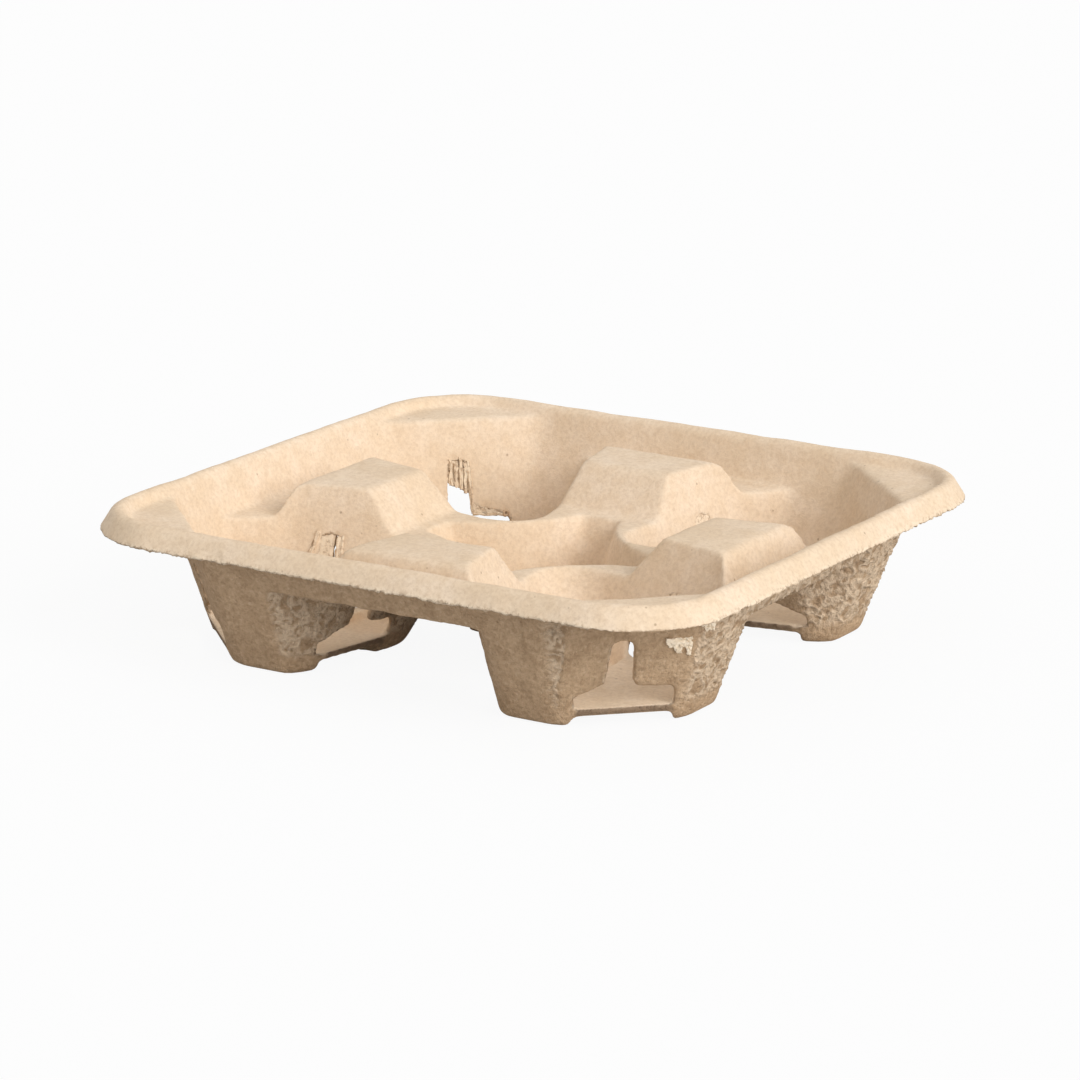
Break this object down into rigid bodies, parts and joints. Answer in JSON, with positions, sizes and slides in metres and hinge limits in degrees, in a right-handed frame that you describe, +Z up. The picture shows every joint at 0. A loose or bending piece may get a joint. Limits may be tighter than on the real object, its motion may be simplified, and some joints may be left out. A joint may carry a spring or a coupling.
{
  "type": "moulded pulp cup carrier",
  "caption": "Square drinks tray of moulded pulp with tapered cup wells on short legs, raised humps between them, a hollow in the middle and a rounded down-turned rim",
  "frame": {"origin": "On the table, under the middle of the tray", "axes": "X and Y run along the sides of the tray, which is alike both ways. Z is up, out of the cup wells."},
  "size_m": [0.213, 0.213, 0.0448],
  "materials": {
    "pulp": "matte"
  },
  "bodies": {
    "root": {"cup_carrier": "pulp"}
  },
  "joints": []
}
